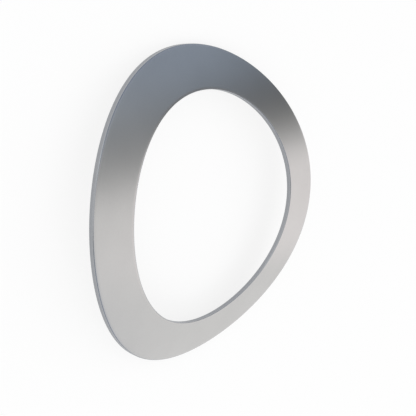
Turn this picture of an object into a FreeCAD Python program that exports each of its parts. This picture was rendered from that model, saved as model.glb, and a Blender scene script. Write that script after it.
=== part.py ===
import FreeCAD, Part
import math
import os
import sys

import Sketcher

# Curved spring washer: a flat ring of spring strip, bent into a single arch.
#
# The axis of the hole is +Z. The arch rises over the X direction, and its faces are straight along Y.
# The origin is the middle of the footprint: the washer lies on the two ends of the arch at z = 0,
# with its hollow side down and the crown of the arch at the free height.
# Seen along the axis of the hole, outline and bore are true circles, and their walls are upright.
# Lengths are in millimetres.

WASHER = "curved_washer"

DRIVING_DIMENSIONS = [
    ("outside_diameter", 30.0, "across the ring, seen along the axis of the hole"),
    ("bore_diameter", 22.0, "across the hole, seen along its axis"),
    ("strip_thickness", 0.5, "square to the arched faces"),
    ("free_height", 4.0, "from the feet to the crown, with no load"),
    ("edge_break", 0.05, "taken off the four rims, along wall and face alike"),
]

# Seen along the bend axis, the hollow face is an arc that rises from the ground and comes back to it.
# The edge break takes the tip of each foot away, so the arc meets the ground a little inside the
# outline: by the break, laid along the face at the foot's slope. Footprint and rise fix the radius.
OUTLINE_RADIUS = "(sizes.outside_diameter / 2)"
BORE_RADIUS = "(sizes.bore_diameter / 2)"
RISE = "(sizes.free_height - sizes.strip_thickness)"
FOOT_SLOPE_COSINE = f"(({OUTLINE_RADIUS} ^ 2 - {RISE} ^ 2) / ({OUTLINE_RADIUS} ^ 2 + {RISE} ^ 2))"
HALF_FOOTPRINT = f"({OUTLINE_RADIUS} - sizes.edge_break * {FOOT_SLOPE_COSINE})"
HOLLOW_FACE_RADIUS = f"(({HALF_FOOTPRINT} ^ 2 + {RISE} ^ 2) / (2 * {RISE}))"
CONVEX_FACE_RADIUS = f"({HOLLOW_FACE_RADIUS} + sizes.strip_thickness)"
BEND_AXIS_DEPTH = f"({HOLLOW_FACE_RADIUS} - {RISE})"

# The ring is raised with spare stock above the crown and below the feet, and the arch is cut from it.
STOCK_HEIGHT = "(4 * sizes.free_height)"
STOCK_REACH = f"({CONVEX_FACE_RADIUS} + sizes.outside_diameter)"

CENTRE = FreeCAD.Vector(0, 0, 0)
ALONG_Y = FreeCAD.Vector(0, 1, 0)
ALONG_Z = FreeCAD.Vector(0, 0, 1)

# Outline and bore are drawn in twelve arcs. Their walls rise and fall with the arch, and so each
# stretch of wall is a face at a height of its own.
WALL_ARC = math.pi / 6

# How a sketch's constraints name its origin.
SKETCH_ORIGIN = (-1, 1)


def make_sizes(doc):
    """Make the sheet that holds the driving dimensions."""
    sheet = doc.addObject("Spreadsheet::Sheet", "sizes")
    for row, (alias, value, meaning) in enumerate(DRIVING_DIMENSIONS, start=1):
        sheet.set(f"A{row}", alias)
        sheet.set(f"B{row}", str(value))
        sheet.set(f"C{row}", meaning)
        sheet.setAlias(f"B{row}", alias)


def origin_plane(body, role):
    """Find one of the body's own origin planes."""
    return next(item for item in body.Origin.OriginFeatures if item.Role == role)


def sketch_on(body, role, name):
    """Make an empty sketch on one of the body's own origin planes."""
    sketch = body.newObject("Sketcher::SketchObject", name)
    sketch.AttachmentSupport = [(origin_plane(body, role), "")]
    sketch.MapMode = "FlatFace"
    return sketch


def start_of(edge):
    """Name the start of a sketch's edge for a constraint."""
    return edge, 1


def end_of(edge):
    """Name the end of a sketch's edge for a constraint."""
    return edge, 2


def centre_of(edge):
    """Name the centre of a sketch's arc or circle for a constraint."""
    return edge, 3


def drive(sketch, name, size, *constraint):
    """Add a named constraint whose value follows an expression."""
    value = sketch.evalExpression(size)
    index = sketch.addConstraint(Sketcher.Constraint(*constraint, value))
    sketch.renameConstraint(index, name)
    sketch.setExpression(f"Constraints.{name}", size)


def join(sketch, first, second):
    """Bring two points of a sketch together."""
    sketch.addConstraint(Sketcher.Constraint("Coincident", *first, *second))


def hold_on_x_axis(sketch, point):
    """Keep a point on the sketch's X axis."""
    sketch.addConstraint(Sketcher.Constraint("PointOnObject", *point, -1))


def hold_on_y_axis(sketch, point):
    """Keep a point on the sketch's Y axis."""
    sketch.addConstraint(Sketcher.Constraint("PointOnObject", *point, -2))


def draw_circle(sketch, radius):
    """Return a full circle of an expression's radius, about the sketch's origin."""
    return Part.Circle(CENTRE, ALONG_Z, sketch.evalExpression(radius))


def add_circle(sketch, name, radius):
    """Add a full circle of a driven radius, and return its index."""
    circle = sketch.addGeometry(draw_circle(sketch, radius))
    drive(sketch, f"{name}_radius", radius, "Radius", circle)
    return circle


def add_wall_arcs(sketch, name, radius):
    """Add a full circle about the sketch's origin as equal arcs, end to end from its X axis."""
    circle = draw_circle(sketch, radius)
    arcs = []
    for number in range(round(2 * math.pi / WALL_ARC)):
        turned = number * WALL_ARC
        arcs.append(sketch.addGeometry(Part.ArcOfCircle(circle, turned, turned + WALL_ARC)))
    for arc, following in zip(arcs, arcs[1:] + arcs[:1]):
        join(sketch, centre_of(arc), SKETCH_ORIGIN)
        join(sketch, end_of(arc), start_of(following))
    for arc in arcs[:-1]:
        sketch.addConstraint(Sketcher.Constraint("Angle", arc, WALL_ARC))
    hold_on_x_axis(sketch, start_of(arcs[0]))
    drive(sketch, f"{name}_radius", radius, "Radius", arcs[0])


def make_plan_ring(body):
    """Raise the washer's plan, outline and bore, to a tall ring."""
    sketch = sketch_on(body, "XY_Plane", "plan")
    add_wall_arcs(sketch, "outline", OUTLINE_RADIUS)
    add_wall_arcs(sketch, "bore", BORE_RADIUS)
    ring = body.newObject("PartDesign::Pad", "plan_ring")
    ring.Profile = sketch
    ring.SideType = "Symmetric"
    ring.setExpression("Length", STOCK_HEIGHT)
    ring.Refine = False
    return ring


def make_arch(body):
    """Cut the tall ring away below the hollow face and above the convex face, through all of it."""
    sketch = sketch_on(body, "XZ_Plane", "arch_section")
    hollow = add_circle(sketch, "hollow_face", HOLLOW_FACE_RADIUS)
    convex = add_circle(sketch, "convex_face", CONVEX_FACE_RADIUS)
    reach = add_circle(sketch, "stock_reach", STOCK_REACH)
    bend_axis = centre_of(hollow)
    join(sketch, centre_of(convex), bend_axis)
    join(sketch, centre_of(reach), bend_axis)
    hold_on_y_axis(sketch, bend_axis)
    drive(sketch, "bend_axis_depth", BEND_AXIS_DEPTH, "DistanceY", *bend_axis, *SKETCH_ORIGIN)
    arch = body.newObject("PartDesign::Pocket", "arch_faces")
    arch.Profile = sketch
    arch.SideType = "Symmetric"
    arch.Type = "ThroughAll"
    arch.Refine = False
    return arch


def is_round_about(face, direction):
    """Tell whether a face is a cylinder whose axis runs along a unit direction."""
    surface = face.Surface
    return isinstance(surface, Part.Cylinder) and math.isclose(abs(surface.Axis.dot(direction)), 1)


def rim_names(shape):
    """Name the edges where an upright wall meets an arched face."""
    names = []
    for number, edge in enumerate(shape.Edges, start=1):
        faces = shape.ancestorsOfType(edge, Part.Face)
        at_wall = any(is_round_about(face, ALONG_Z) for face in faces)
        at_arch = any(is_round_about(face, ALONG_Y) for face in faces)
        if at_wall and at_arch:
            names.append(f"Edge{number}")
    return names


def make_broken_rims(body, arch):
    """Break the four rims, which blanking leaves sharp."""
    rims = body.newObject("PartDesign::Chamfer", "broken_rims")
    rims.Base = (arch, rim_names(arch.Shape))
    rims.setExpression("Size", "sizes.edge_break")
    rims.Refine = False
    return rims


def fail(message):
    """Stop the build with a plain message."""
    sys.exit(f"{WASHER}: {message}")


def check_cut(before, after):
    """Stop if a feature that should take material away took none."""
    if after.Shape.Volume >= before.Shape.Volume:
        fail(f"{after.Name} cuts nothing")


def check_document(doc, body):
    """Stop if any object failed, or if the washer isn't one sound solid."""
    for item in doc.Objects:
        if "Invalid" in item.State or "Error" in item.State:
            fail(f"{item.Name} is {item.State}")
    shape = body.Shape
    if shape.isNull() or not shape.isValid() or len(shape.Solids) != 1:
        fail("the shape isn't one valid solid")


def build():
    """Model the washer, check it and write its file."""
    doc = FreeCAD.newDocument("curved_washer_model")
    make_sizes(doc)
    doc.recompute()
    body = doc.addObject("PartDesign::Body", "washer_body")
    body.Label = WASHER
    body.Placement = FreeCAD.Placement()

    ring = make_plan_ring(body)
    arch = make_arch(body)
    doc.recompute()
    rims = make_broken_rims(body, arch)
    body.Tip = rims
    doc.recompute()

    check_document(doc, body)
    check_cut(ring, arch)
    check_cut(arch, rims)
    os.makedirs("parts", exist_ok=True)
    body.Shape.exportStep(f"parts/{body.Label}.step")


build()
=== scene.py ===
"""Curved spring washer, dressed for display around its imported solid.

The washer is a flat ring of spring steel strip, bent into a single arch. The axis of its hole is +Z,
the arch rises over the X direction, and the ring lies on the two ends of the arch at z = 0.
Lengths are in metres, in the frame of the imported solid.
"""

import logging
import math
from dataclasses import dataclass, field
from enum import Enum

import bpy
from mathutils import Matrix, Vector


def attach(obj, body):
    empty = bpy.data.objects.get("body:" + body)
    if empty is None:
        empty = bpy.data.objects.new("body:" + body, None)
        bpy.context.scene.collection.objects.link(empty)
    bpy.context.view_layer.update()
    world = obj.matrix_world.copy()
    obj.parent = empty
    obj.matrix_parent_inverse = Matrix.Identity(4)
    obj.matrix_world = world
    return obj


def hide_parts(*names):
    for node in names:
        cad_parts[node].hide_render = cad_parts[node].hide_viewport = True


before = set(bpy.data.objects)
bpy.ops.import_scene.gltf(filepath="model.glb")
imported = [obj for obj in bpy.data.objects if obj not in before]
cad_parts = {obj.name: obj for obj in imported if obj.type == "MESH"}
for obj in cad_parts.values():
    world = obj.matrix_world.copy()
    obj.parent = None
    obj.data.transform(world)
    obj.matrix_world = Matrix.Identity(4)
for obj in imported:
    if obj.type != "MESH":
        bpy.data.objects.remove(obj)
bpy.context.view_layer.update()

MM = 0.001
SOLID_NODE = "curved_washer"

# The attributes that the ring's mesh carries for its finish, each from 0 to 1 and 0.5 in the middle.
THROUGH_STRIP = "through_strip"
ACROSS_RING = "across_ring"

Place = tuple[float, float, float]
Range = tuple[float, float]
Colour = tuple[float, float, float]
# What a node's socket or setting takes.
Value = bpy.types.NodeSocket | float | int | bool | str | tuple | bpy.types.Material

WHITE: Colour = (1.0, 1.0, 1.0)

log = logging.getLogger("washer")


def opaque(colour: Colour) -> tuple[float, float, float, float]:
    """Return a linear colour with full alpha."""
    return (*colour, 1.0)


def add_object(name: str, data: bpy.types.ID) -> bpy.types.Object:
    """Put a new object into the scene.

    Args:
        name: What the object is called.
        data: Its mesh, light or camera.

    Returns:
        The object, at the origin.
    """
    item = bpy.data.objects.new(name, data)
    bpy.context.scene.collection.objects.link(item)
    return item


@dataclass(frozen=True)
class Pattern:
    """A cloudy pattern in a finish.

    Args:
        spacing: Clouds per metre along each axis.
        detail: How many finer layers the pattern has.
        roughness: How strong the finer layers are.
    """

    spacing: Place
    detail: float
    roughness: float = 0.5


@dataclass
class NodeGraph:
    """A node tree in the making, of a shape or of a finish.

    Args:
        tree: The tree that the nodes go into.
    """

    tree: bpy.types.NodeTree

    @classmethod
    def of_new(cls, owner: bpy.types.Material | bpy.types.World) -> "NodeGraph":
        """Return the empty graph of a new material or world.

        Args:
            owner: The material or world.

        Returns:
            Its graph, with no node in it.
        """
        owner.use_nodes = True
        owner.node_tree.nodes.clear()
        return cls(owner.node_tree)

    def add(
        self, kind: str, inputs: dict[str | int, Value] | None = None, **settings: Value
    ) -> bpy.types.Node:
        """Add a node, set it up and feed it.

        Args:
            kind: The node's type name.
            inputs: What goes into its sockets, by name or by place: a value, or a socket to link.
            settings: The node's own properties.

        Returns:
            The new node.
        """
        node = self.tree.nodes.new(kind)
        for name, value in settings.items():
            setattr(node, name, value)
        for key, value in (inputs or {}).items():
            self.feed(node.inputs[key], value)
        return node

    def feed(self, socket: bpy.types.NodeSocket, value: Value) -> None:
        """Link a socket to another one, or give it a value of its own.

        Args:
            socket: The socket that is fed.
            value: The socket that feeds it, or the value.
        """
        if isinstance(value, bpy.types.NodeSocket):
            self.tree.links.new(value, socket)
        else:
            socket.default_value = value

    def math(self, operation: str, *values: Value) -> bpy.types.NodeSocket:
        """Return the result of a sum on numbers.

        Args:
            operation: The name of the sum, such as ADD.
            values: The numbers, or the sockets that give them.

        Returns:
            The socket that holds the result.
        """
        return self.add("ShaderNodeMath", dict(enumerate(values)), operation=operation).outputs[0]

    def square(self, value: Value) -> bpy.types.NodeSocket:
        """Return the square of a number."""
        return self.math("POWER", value, 2.0)

    def off_middle(self, share: Value) -> bpy.types.NodeSocket:
        """Return how far a share, from 0 to 1, lies from one half."""
        return self.math("ABSOLUTE", self.math("SUBTRACT", share, 0.5))

    def spread(
        self, value: Value, low: float, high: float, to_low: float = 0.0, to_high: float = 1.0
    ) -> bpy.types.NodeSocket:
        """Return a number moved smoothly from one range to another.

        Args:
            value: The number, or the socket that gives it.
            low: Where the first range begins.
            high: Where the first range ends.
            to_low: What the beginning becomes.
            to_high: What the end becomes.

        Returns:
            The socket that holds the result.
        """
        node = self.add(
            "ShaderNodeMapRange",
            {"Value": value, "From Min": low, "From Max": high, "To Min": to_low, "To Max": to_high},
            interpolation_type="SMOOTHSTEP",
        )
        return node.outputs["Result"]

    def mix(
        self, kind: str, share: Value, first: Value, second: Value, **settings: Value
    ) -> bpy.types.NodeSocket:
        """Return a number or a colour between two.

        Args:
            kind: FLOAT for numbers, RGBA for colours.
            share: The second one's share, from 0 to 1.
            first: The first number or colour.
            second: The second number or colour.
            settings: The node's other properties, such as how colours blend.

        Returns:
            The socket that holds the result.
        """
        node = self.add("ShaderNodeMix", data_type=kind, **settings)
        suffix = {"FLOAT": "Float", "RGBA": "Color"}[kind]
        inputs = {socket.identifier: socket for socket in node.inputs}
        self.feed(inputs["Factor_Float"], share)
        self.feed(inputs[f"A_{suffix}"], first)
        self.feed(inputs[f"B_{suffix}"], second)
        return next(socket for socket in node.outputs if socket.identifier == f"Result_{suffix}")

    def noise(self, where: Value, pattern: Pattern) -> bpy.types.NodeSocket:
        """Return a cloudy pattern's height, from 0 to 1.

        Args:
            where: The socket that gives the place.
            pattern: The pattern.

        Returns:
            The socket that holds the height.
        """
        placed = self.add(
            "ShaderNodeMapping", {"Vector": where, "Scale": pattern.spacing}, vector_type="POINT"
        )
        node = self.add(
            "ShaderNodeTexNoise",
            {
                "Vector": placed.outputs["Vector"],
                "Scale": 1.0,
                "Detail": pattern.detail,
                "Roughness": pattern.roughness,
            },
        )
        return node.outputs["Fac"]

    def mix_shaders(
        self, share: Value, first: bpy.types.NodeSocket, second: bpy.types.NodeSocket
    ) -> bpy.types.NodeSocket:
        """Return a shader between two.

        Args:
            share: The second one's share, from 0 to 1.
            first: The first shader.
            second: The second shader.

        Returns:
            The socket that holds the result.
        """
        return self.add("ShaderNodeMixShader", {0: share, 1: first, 2: second}).outputs["Shader"]


class RollingDirection(Enum):
    """Which way the strip was rolled, as the grain that the rolls left."""

    ALONG_ARCH = Pattern(spacing=(350.0, 24000.0, 350.0), detail=3.0)
    ALONG_BEND_AXIS = Pattern(spacing=(24000.0, 350.0, 350.0), detail=3.0)


class PunchedFrom(Enum):
    """The face that the punch met, as where the sheared wall's bright band begins and ends."""

    CONVEX_FACE = (1.0, 0.55)
    HOLLOW_FACE = (0.0, 0.45)


@dataclass(frozen=True)
class SpringSteel:
    """Bright rolled spring steel: satin faces, duller sheared walls and rims rubbed smooth.

    The ring's finish is laid out by two shares that its mesh carries: across the ring, from its bore
    to its outline, and through the strip, from its hollow face to its convex one.

    Args:
        face: The colour of the rolled faces.
        wall: The colour of the sheared walls and the rims.
        face_roughness: The roughness of the rolled faces.
        wall_roughness: The roughness of the walls where the strip tore.
        rim_roughness: The roughness of the rubbed rims.
        face_change: How far the grain moves the roughness of the faces, down and up.
        wall_change: How far the drag marks move the roughness of the walls, down and up.
        tone_change: How far the colour strays, down and up.
        cloud_share: The clouds' share in that. The tumbling marks have the rest.
        grain_height: The height of the rolled grain and the drag marks.
        mark_height: The height of the tumbling marks, as a share of that.
        walls_from: Where the walls begin and are whole, as a share of the ring's width from its middle.
        rims_across: The same for the rims.
        rims_through: The same for the rims, as a share of the strip's thickness from its middle.
        rolled: Which way the strip was rolled.
        punched: Which face the punch met.
        clouds: The broad clouds in the colour.
        tumbling_marks: The fine even marks that tumbling left everywhere.
        drag_marks: The marks that the punch drew down the walls.
        tone_band: The heights of cloud and marks at which the colour strays most.
        grain_band: The heights of grain and drag marks at which the roughness strays most.
    """

    face: Colour = (0.550, 0.543, 0.533)
    wall: Colour = (0.370, 0.380, 0.398)
    face_roughness: float = 0.30
    wall_roughness: float = 0.52
    rim_roughness: float = 0.22
    face_change: Range = (-0.01, 0.01)
    wall_change: Range = (-0.02, 0.04)
    tone_change: float = 0.03
    cloud_share: float = 0.7
    grain_height: float = 0.00003 * MM
    mark_height: float = 0.35
    walls_from: Range = (0.480, 0.487)
    rims_across: Range = (0.470, 0.498)
    rims_through: Range = (0.34, 0.46)
    rolled: RollingDirection = RollingDirection.ALONG_ARCH
    punched: PunchedFrom = PunchedFrom.CONVEX_FACE
    clouds: Pattern = Pattern(spacing=(180.0, 180.0, 180.0), detail=2.0)
    tumbling_marks: Pattern = Pattern(spacing=(5200.0, 5200.0, 5200.0), detail=4.0, roughness=0.6)
    drag_marks: Pattern = Pattern(spacing=(9000.0, 9000.0, 350.0), detail=3.0)
    tone_band: Range = (0.3, 0.7)
    grain_band: Range = (0.25, 0.75)

    def smooth_range(self, change: Range) -> Range:
        """Return the roughness of smooth metal, moved down and up by a change."""
        return (self.face_roughness + change[0], self.face_roughness + change[1])

    def material(self) -> bpy.types.Material:
        """Build the finish.

        Returns:
            The material, which follows the ring by its two stored attributes and its own coordinates.
        """
        steel = bpy.data.materials.new("spring_steel_satin")
        graph = NodeGraph.of_new(steel)
        place = graph.add("ShaderNodeTexCoord").outputs["Object"]
        through = graph.add("ShaderNodeAttribute", attribute_name=THROUGH_STRIP).outputs["Fac"]
        across = graph.add("ShaderNodeAttribute", attribute_name=ACROSS_RING).outputs["Fac"]

        from_middle = graph.off_middle(across)
        on_wall = graph.spread(from_middle, *self.walls_from)
        near_rim = graph.math(
            "MULTIPLY",
            graph.spread(from_middle, *self.rims_across),
            graph.spread(graph.off_middle(through), *self.rims_through),
        )
        torn = graph.spread(through, *self.punched.value)

        grain = graph.noise(place, self.rolled.value)
        marks = graph.noise(place, self.tumbling_marks)
        cloud = graph.noise(place, self.clouds)
        drag = graph.noise(place, self.drag_marks)

        tone = graph.math(
            "ADD",
            graph.math("MULTIPLY", cloud, self.cloud_share),
            graph.math("MULTIPLY", marks, 1.0 - self.cloud_share),
        )
        shade = graph.spread(tone, *self.tone_band, 1.0 - self.tone_change, 1.0 + self.tone_change)
        plain = graph.mix("RGBA", on_wall, opaque(self.face), opaque(self.wall))
        tinted = graph.add("ShaderNodeVectorMath", {0: plain, "Scale": shade}, operation="SCALE")

        face_rough = graph.spread(grain, *self.grain_band, *self.smooth_range(self.face_change))
        wall_rough = graph.math(
            "ADD",
            graph.math("MULTIPLY", torn, self.wall_roughness - self.face_roughness),
            graph.spread(drag, *self.grain_band, *self.smooth_range(self.wall_change)),
        )
        rough = graph.mix("FLOAT", on_wall, face_rough, wall_rough)
        rough = graph.mix("FLOAT", near_rim, rough, self.rim_roughness)

        relief = graph.mix("FLOAT", on_wall, grain, drag)
        relief = graph.math("ADD", relief, graph.math("MULTIPLY", marks, self.mark_height))
        bump = graph.add(
            "ShaderNodeBump", {"Height": relief, "Distance": self.grain_height, "Strength": 1.0}
        )

        metal = graph.add(
            "ShaderNodeBsdfPrincipled",
            {
                "Base Color": tinted.outputs["Vector"],
                "Metallic": 1.0,
                "Roughness": rough,
                "Normal": bump.outputs["Normal"],
            },
        )
        graph.add("ShaderNodeOutputMaterial", {"Surface": metal.outputs["BSDF"]})
        return steel


@dataclass
class CurvedWasher:
    """The whole washer: one closed ring of arched strip with rounded rims.

    Args:
        outside_diameter: Across the ring, seen along the axis of the hole.
        bore_diameter: Across the hole, seen along its axis.
        strip_thickness: Square to the arched faces.
        free_height: From the feet to the crown, with no load.
        edge_break: What tumbling takes off each rim, along wall and face.
        rim_radius: The rounding of the four rims.
        row_spacing: The widest gap between two rows of points across a face.
        steps_around: Points in each row round the ring.
        rim_steps: Extra points in the rounding of each rim.
        steel: The finish.
    """

    outside_diameter: float = 30.0 * MM
    bore_diameter: float = 22.0 * MM
    strip_thickness: float = 0.5 * MM
    free_height: float = 4.0 * MM
    edge_break: float = 0.05 * MM
    rim_radius: float = 0.057 * MM
    row_spacing: float = 0.25 * MM
    steps_around: int = 360
    rim_steps: int = 4
    steel: SpringSteel = field(default_factory=SpringSteel)

    @property
    def hollow_face_radius(self) -> float:
        """The bend of the hollow face.

        Seen along the bend axis, it is an arc that meets the ground a little inside the outline, where
        the edge break ends.

        Returns:
            Its radius, from the rise of the arch and half its footprint.
        """
        outline = self.outside_diameter / 2
        rise = self.free_height - self.strip_thickness
        foot_slope_cosine = (outline**2 - rise**2) / (outline**2 + rise**2)
        half_footprint = outline - self.edge_break * foot_slope_cosine
        return (half_footprint**2 + rise**2) / (2 * rise)

    @property
    def bend_radius(self) -> float:
        """The bend of the strip at the middle of its thickness."""
        return self.hollow_face_radius + self.strip_thickness / 2

    @property
    def bend_axis_depth(self) -> float:
        """How far the bend axis lies below the ground."""
        return self.bend_radius + self.strip_thickness / 2 - self.free_height

    def lengths(self) -> dict[str, float]:
        """Return the shape's lengths by the names of the tree's inputs."""
        return {
            "Middle Radius": (self.outside_diameter + self.bore_diameter) / 4,
            "Ring Width": (self.outside_diameter - self.bore_diameter) / 2,
            "Strip Thickness": self.strip_thickness,
            "Rim Radius": self.rim_radius,
            "Bend Radius": self.bend_radius,
            "Bend Axis Depth": self.bend_axis_depth,
            "Row Spacing": self.row_spacing,
        }

    def counts(self) -> dict[str, int]:
        """Return the shape's counts by the names of the tree's inputs."""
        return {"Steps Around": self.steps_around, "Rim Steps": self.rim_steps}

    def shape_tree(self) -> bpy.types.GeometryNodeTree:
        """Build the rule of the ring's shape.

        A rounded strip section is swept round a circle, and each of its points is then lifted onto the
        arch, straight up, so that the walls stay upright and the strip keeps its thickness.

        Returns:
            The tree, with the sizes as its inputs.
        """
        tree = bpy.data.node_groups.new("arched_ring", "GeometryNodeTree")
        graph = NodeGraph(tree)
        for name in self.lengths():
            tree.interface.new_socket(name, in_out="INPUT", socket_type="NodeSocketFloat")
        for name in self.counts():
            tree.interface.new_socket(name, in_out="INPUT", socket_type="NodeSocketInt")
        tree.interface.new_socket("Steel", in_out="INPUT", socket_type="NodeSocketMaterial")
        tree.interface.new_socket("Ring", in_out="OUTPUT", socket_type="NodeSocketGeometry")
        sizes = graph.add("NodeGroupInput").outputs

        here = graph.add("GeometryNodeInputPosition").outputs["Position"]
        place = graph.add("ShaderNodeSeparateXYZ", {"Vector": here}).outputs
        ring = self.mark_shares(graph, sizes, place, self.swept_section(graph, sizes))
        reach = graph.square(graph.math("ADD", sizes["Bend Radius"], place["Z"]))
        above_axis = graph.math("SQRT", graph.math("SUBTRACT", reach, graph.square(place["X"])))
        height = graph.math("SUBTRACT", above_axis, sizes["Bend Axis Depth"])
        lifted = graph.add("ShaderNodeCombineXYZ", {"X": place["X"], "Y": place["Y"], "Z": height})
        for kind, inputs in (
            ("GeometryNodeSetPosition", {"Position": lifted.outputs["Vector"]}),
            ("GeometryNodeSetShadeSmooth", {}),
            ("GeometryNodeRealizeInstances", {}),
            ("GeometryNodeSetMaterial", {"Material": sizes["Steel"]}),
        ):
            ring = graph.add(kind, {"Geometry": ring, **inputs}).outputs["Geometry"]
        graph.add("NodeGroupOutput", {"Ring": ring})
        return tree

    @staticmethod
    def mark_shares(
        graph: NodeGraph,
        sizes: bpy.types.NodeOutputs,
        place: bpy.types.NodeOutputs,
        ring: bpy.types.NodeSocket,
    ) -> bpy.types.NodeSocket:
        """Store how far each point of the flat ring lies through the strip and across the ring.

        Args:
            graph: The shape's node tree.
            sizes: The tree's inputs.
            place: The point's place along X, Y and Z.
            ring: The socket that holds the flat ring.

        Returns:
            The socket that holds the flat ring with its two attributes.
        """
        out = graph.math("SQRT", graph.math("ADD", graph.square(place["X"]), graph.square(place["Y"])))
        past_middle = graph.math("SUBTRACT", out, sizes["Middle Radius"])
        for name, distance, width in (
            (THROUGH_STRIP, place["Z"], sizes["Strip Thickness"]),
            (ACROSS_RING, past_middle, sizes["Ring Width"]),
        ):
            share = graph.math("ADD", graph.math("DIVIDE", distance, width), 0.5)
            ring = graph.add(
                "GeometryNodeStoreNamedAttribute",
                {"Geometry": ring, "Name": name, "Value": share},
                data_type="FLOAT",
                domain="POINT",
            ).outputs["Geometry"]
        return ring

    @staticmethod
    def swept_section(graph: NodeGraph, sizes: bpy.types.NodeOutputs) -> bpy.types.NodeSocket:
        """Sweep the strip's rounded section round the ring, still flat.

        Args:
            graph: The shape's node tree.
            sizes: The tree's inputs.

        Returns:
            The socket that holds the flat ring, its thickness along Z.
        """
        section = graph.add(
            "GeometryNodeCurvePrimitiveQuadrilateral",
            {"Width": sizes["Ring Width"], "Height": sizes["Strip Thickness"]},
            mode="RECTANGLE",
        )
        rounded = graph.add(
            "GeometryNodeFilletCurve",
            {
                "Curve": section.outputs["Curve"],
                "Count": sizes["Rim Steps"],
                "Radius": sizes["Rim Radius"],
            },
            mode="POLY",
        )
        here = graph.add("GeometryNodeInputPosition").outputs["Position"]
        following = graph.add("GeometryNodeOffsetPointInCurve", {"Offset": 1})
        there = graph.add(
            "GeometryNodeFieldAtIndex",
            {"Value": here, "Index": following.outputs["Point Index"]},
            data_type="FLOAT_VECTOR",
            domain="POINT",
        )
        gap = graph.add(
            "ShaderNodeVectorMath", {0: here, 1: there.outputs["Value"]}, operation="DISTANCE"
        )
        cuts = graph.math("DIVIDE", gap.outputs["Value"], sizes["Row Spacing"])
        rows = graph.add(
            "GeometryNodeSubdivideCurve",
            {"Curve": rounded.outputs["Curve"], "Cuts": graph.math("FLOOR", cuts)},
        )
        middle = graph.add(
            "GeometryNodeCurvePrimitiveCircle",
            {"Resolution": sizes["Steps Around"], "Radius": sizes["Middle Radius"]},
            mode="RADIUS",
        )
        ring = graph.add(
            "GeometryNodeCurveToMesh",
            {"Curve": middle.outputs["Curve"], "Profile Curve": rows.outputs["Curve"]},
        )
        return ring.outputs["Mesh"]

    def build(self) -> bpy.types.Object:
        """Make the washer as one plain mesh and put it in the solid's place.

        Returns:
            The finished piece.
        """
        washer = add_object("washer_ring", bpy.data.meshes.new("washer_ring_start"))
        shape = washer.modifiers.new("arched_ring", "NODES")
        shape.node_group = self.shape_tree()
        values = {**self.lengths(), **self.counts(), "Steel": self.steel.material()}
        for item in shape.node_group.interface.items_tree:
            if item.in_out == "INPUT":
                shape[item.identifier] = values[item.name]
        washer.modifiers.new("flat_face_normals", "WEIGHTED_NORMAL")

        scene_now = bpy.context.evaluated_depsgraph_get()
        mesh = bpy.data.meshes.new_from_object(
            washer.evaluated_get(scene_now), preserve_all_data_layers=True, depsgraph=scene_now
        )
        mesh.name = "washer_ring"
        washer.modifiers.clear()
        washer.data = mesh

        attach(washer, "root")
        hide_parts(SOLID_NODE)
        log.info("%s: %d points, %d faces", washer.name, len(mesh.vertices), len(mesh.polygons))
        return washer


@dataclass(frozen=True)
class SoftLamp:
    """One large soft lamp that faces the washer.

    Args:
        name: What the lamp is called.
        towards: The direction from the washer to the lamp.
        distance: How far away the lamp is.
        wide: How wide it is.
        tall: How tall it is.
        level: How bright the lamp itself looks, where 1 is white.
        colour: The lamp's colour.
    """

    name: str
    towards: Place
    distance: float
    wide: float
    tall: float
    level: float
    colour: Colour = WHITE

    def build(self) -> bpy.types.Object:
        """Hang the lamp.

        Returns:
            The lamp's object.
        """
        light = bpy.data.lights.new(self.name, "AREA")
        light.shape = "RECTANGLE"
        light.size = self.wide
        light.size_y = self.tall
        light.color = self.colour
        # A lamp looks as bright as its power, shared out over its area and divided by pi.
        light.energy = math.pi * self.wide * self.tall * self.level
        lamp = add_object(self.name, light)
        away = Vector(self.towards).normalized()
        turned = away.to_track_quat("Z", "Y").to_matrix().to_4x4()
        lamp.matrix_world = Matrix.Translation(away * self.distance) @ turned
        log.info("%s: %.2f of white", self.name, self.level)
        return lamp


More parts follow.
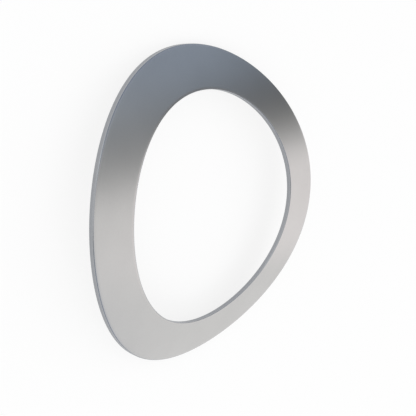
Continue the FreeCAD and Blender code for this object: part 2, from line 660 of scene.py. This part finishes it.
@dataclass(frozen=True)
class PaintedReflectionCard:
    """A large glowing card that leans over the washer from one side: painted reflection for the steel
    to mirror.

    It glows though it is no lamp. The camera doesn't see it, it neither lights nor darkens the floor,
    it casts no shadow, and it thins out towards its edges.

    Args:
        name: What the card is called.
        turned: Its turn about the axis of the hole, in degrees, from the -X side.
        distance: Square from the card to the washer.
        lean: How far its top leans over the washer, in degrees.
        reach: How far it goes to each side, and up.
        clearance: How high above the floor its lower edge is.
        edge: Where it begins and where it is whole, by the sine of the angle at which it is seen.
        end: The same along it, towards its short end.
        foot: The sine of the height at which it begins, and at which it is whole.
        top: The sine of the height at which it begins to thin out, and at which it is gone.
        tones: The colours of its glow from its edge to its middle, by the same sine as its edge:
            painted reflection, dark at the edge and blue-grey in the middle.
        high_tone: The lighter glow that its upper part goes over to, a painted reflection band.
        high_from: The sine of the height at which that begins, and at which it is full.
        high_share: How much of it comes in.
    """

    name: str
    turned: float
    distance: float = 0.25
    lean: float = 20.0
    reach: float = 2.0
    clearance: float = 1.0 * MM
    edge: Range = (0.18, 0.35)
    end: Range = (-0.52, -0.22)
    foot: Range = (0.03, 0.19)
    top: Range = (0.84, 0.98)
    # Painted reflection: the glow's tones, dark at the edge and blue-grey towards the middle.
    tones: tuple[tuple[float, Colour], ...] = (
        (0.35, (0.10, 0.10, 0.09)),
        (0.50, (0.07, 0.077, 0.09)),
        (0.58, (0.325, 0.40, 0.50)),
        (0.95, (0.40, 0.455, 0.585)),
    )
    high_tone: Colour = (0.56, 0.585, 0.605)
    high_from: Range = (0.49, 0.79)
    high_share: float = 0.47

    def build(self) -> bpy.types.Object:
        """Stand the card.

        Returns:
            The card's object.
        """
        lean = math.radians(self.lean)
        inward = Vector((math.cos(lean), 0.0, -math.sin(lean)))
        upward = Vector((math.sin(lean), 0.0, math.cos(lean)))
        middle = -inward * self.distance
        low = middle + upward * (self.clearance - middle.z) / upward.z
        high = middle + upward * self.reach
        side = Vector((0.0, self.reach, 0.0))
        mesh = bpy.data.meshes.new(self.name)
        mesh.from_pydata([low - side, low + side, high + side, high - side], [], [(0, 1, 2, 3)])
        mesh.materials.append(self.finish())
        card = add_object(self.name, mesh)
        card.rotation_euler.z = math.radians(self.turned)
        # The card glows but is no lamp: only the steel's reflections see it, as painted reflection.
        card.visible_camera = False
        card.visible_diffuse = False
        card.visible_shadow = False
        log.info("%s: %.2f m from the washer", self.name, self.distance)
        return card

    def finish(self) -> bpy.types.Material:
        """Build the card's glow, a painted reflection that goes from tone to tone and thins out towards
        its edges.

        Returns:
            The material.
        """
        painted_reflection_glow = bpy.data.materials.new(f"{self.name}_painted_reflection_glow")
        graph = NodeGraph.of_new(painted_reflection_glow)
        place = graph.add("ShaderNodeTexCoord").outputs["Object"]
        away = graph.add("ShaderNodeVectorMath", {0: place}, operation="LENGTH").outputs["Value"]
        parts = graph.add("ShaderNodeSeparateXYZ", {"Vector": place}).outputs
        facing = graph.math("DIVIDE", self.distance, away)
        along = graph.math("DIVIDE", parts["Y"], away)
        height = graph.math("DIVIDE", parts["Z"], away)

        ramp = graph.add("ShaderNodeValToRGB", {"Fac": facing})
        elements = ramp.color_ramp.elements
        for position, _ in self.tones[1:-1]:
            elements.new(position)
        for element, (position, colour) in zip(elements, self.tones):
            element.position = position
            element.color = opaque(colour)
        high = graph.spread(height, *self.high_from, 0.0, self.high_share)
        tone = graph.mix(
            "RGBA", high, ramp.outputs["Color"], opaque(self.high_tone), blend_type="LIGHTEN"
        )

        whole = graph.spread(facing, *self.edge)
        for share in (
            graph.spread(along, *self.end),
            graph.spread(height, *self.foot),
            graph.spread(height, *self.top, 1.0, 0.0),
        ):
            whole = graph.math("MULTIPLY", whole, share)
        clear = graph.add("ShaderNodeBsdfTransparent").outputs["BSDF"]
        # The glow is painted reflection: it shows only where the steel mirrors the card.
        glow = graph.add("ShaderNodeEmission", {"Color": tone}).outputs["Emission"]
        graph.add("ShaderNodeOutputMaterial", {"Surface": graph.mix_shaders(whole, clear, glow)})
        return painted_reflection_glow


@dataclass
class Studio:
    """The plain pale floor, the soft light and the glowing cards of painted reflection that the steel
    mirrors.

    Args:
        floor_radius: How far the floor reaches.
        floor_corners: How many corners its round edge has.
        floor_colour: The floor's colour.
        floor_white: White's share in the floor as it is seen.
        sky: The light that comes evenly from all round.
        lamps: The soft lamps.
        cards: The glowing cards of painted reflection that the steel mirrors, alike from either side.
    """

    floor_radius: float = 4.0
    floor_corners: int = 96
    floor_colour: Colour = (0.95, 0.95, 0.95)
    floor_white: float = 0.78
    sky: float = 0.86
    lamps: tuple[SoftLamp, ...] = (
        SoftLamp(
            name="key_lamp",
            towards=(0.75, -0.20, 0.63),
            distance=1.6,
            wide=1.5,
            tall=1.5,
            level=0.9,
        ),
        SoftLamp(
            name="warm_far_lamp",
            towards=(0.26, 0.83, 0.50),
            distance=1.8,
            wide=1.0,
            tall=1.0,
            level=0.20,
            colour=(1.0, 0.80, 0.82),
        ),
        SoftLamp(
            name="cool_strip_lamp",
            towards=(-0.69, -0.65, 0.40),
            distance=1.2,
            wide=0.4,
            tall=1.2,
            level=0.55,
            colour=(0.72, 0.87, 1.0),
        ),
    )
    # The two cards glow as painted reflection in the steel; they light nothing and cast no shadow.
    cards: tuple[PaintedReflectionCard, ...] = (PaintedReflectionCard("left_reflection_card", 0.0), PaintedReflectionCard("right_reflection_card", 180.0))

    def build(self) -> None:
        """Lay the floor, set the sky, hang the lamps and stand the glowing reflection cards."""
        self.lay_floor()
        self.set_sky()
        for item in (*self.lamps, *self.cards):
            item.build()

    def lay_floor(self) -> None:
        """Lay a plain pale floor at z = 0."""
        mesh = bpy.data.meshes.new("floor")
        rim = []
        for corner in range(self.floor_corners):
            turn = 2 * math.pi * corner / self.floor_corners
            rim.append((self.floor_radius * math.cos(turn), self.floor_radius * math.sin(turn), 0.0))
        mesh.from_pydata(rim, [], [list(range(self.floor_corners))])
        mesh.materials.append(self.floor_finish())
        add_object("floor", mesh)
        log.info("floor: %.1f m across", 2 * self.floor_radius)

    def floor_finish(self) -> bpy.types.Material:
        """Build the floor's finish: a matt white that keeps shadows, and is seen as nearly white.

        Returns:
            The material.
        """
        pale = bpy.data.materials.new("pale_floor")
        graph = NodeGraph.of_new(pale)
        matt = graph.add("ShaderNodeBsdfDiffuse", {"Color": opaque(self.floor_colour)}).outputs["BSDF"]
        white = graph.add("ShaderNodeEmission", {"Strength": 1.0}).outputs["Emission"]
        share = graph.math("MULTIPLY", self.seen(graph), self.floor_white)
        graph.add("ShaderNodeOutputMaterial", {"Surface": graph.mix_shaders(share, matt, white)})
        return pale

    @staticmethod
    def seen(graph: NodeGraph) -> bpy.types.NodeSocket:
        """Tell the rays that show the background, to the camera or in metal or glass.

        Args:
            graph: The node tree of the floor or the sky.

        Returns:
            The socket that is 1 for such a ray, and else 0.
        """
        rays = graph.add("ShaderNodeLightPath").outputs
        shown = graph.math("MAXIMUM", rays["Is Camera Ray"], rays["Is Glossy Ray"])
        return graph.math("MAXIMUM", shown, rays["Is Transmission Ray"])

    def set_sky(self) -> None:
        """Surround everything with plain pale light, seen as white."""
        world = bpy.data.worlds.new("studio")
        graph = NodeGraph.of_new(world)
        strength = graph.spread(self.seen(graph), 0.0, 1.0, self.sky, 1.0)
        light = graph.add("ShaderNodeBackground", {"Color": opaque(WHITE), "Strength": strength})
        graph.add("ShaderNodeOutputWorld", {"Surface": light.outputs["Background"]})
        bpy.context.scene.world = world
        log.info("sky: %.2f", self.sky)


@dataclass
class Viewpoint:
    """The camera, where the photograph's stood.

    Args:
        aim: The point at the middle of the picture.
        distance: From the aim to the camera.
        azimuth: The camera's turn about the axis of the hole, in degrees, from straight along +Y.
        elevation: The camera's height above the horizon, in degrees.
        roll: The camera's turn about its own line of sight, in degrees.
        lens: The focal length in the camera's own millimetres.
        sensor: The sensor's width in the camera's own millimetres.
        nearest: How near the camera still sees.
        farthest: How far it sees.
    """

    aim: Place = (-0.66 * MM, -1.99 * MM, 3.75 * MM)
    distance: float = 51.93 * MM
    azimuth: float = -18.55
    elevation: float = 39.90
    roll: float = 102.2
    lens: float = 50.0
    sensor: float = 36.0
    nearest: float = 1.0 * MM
    farthest: float = 100.0

    def build(self) -> bpy.types.Object:
        """Set the camera up.

        Returns:
            The scene's camera.
        """
        data = bpy.data.cameras.new("camera")
        data.lens = self.lens
        data.sensor_width = self.sensor
        data.clip_start = self.nearest
        data.clip_end = self.farthest
        camera = add_object("camera", data)
        turn, rise = math.radians(self.azimuth), math.radians(self.elevation)
        level = math.cos(rise)
        back = Vector((math.sin(turn) * level, -math.cos(turn) * level, math.sin(rise)))
        upright = (-back).to_track_quat("-Z", "Y").to_matrix().to_4x4()
        rolled = upright @ Matrix.Rotation(math.radians(self.roll), 4, "Z")
        camera.matrix_world = Matrix.Translation(Vector(self.aim) + back * self.distance) @ rolled
        bpy.context.scene.camera = camera
        log.info("camera: %.1f mm from its aim", self.distance / MM)
        return camera


def main() -> None:
    """Build the washer, the studio and the camera, in that order."""
    logging.basicConfig(level=logging.INFO, format="%(name)s: %(message)s")
    bpy.context.scene.view_settings.view_transform = "Standard"
    CurvedWasher().build()
    Studio().build()
    Viewpoint().build()


if __name__ == "__main__":
    main()
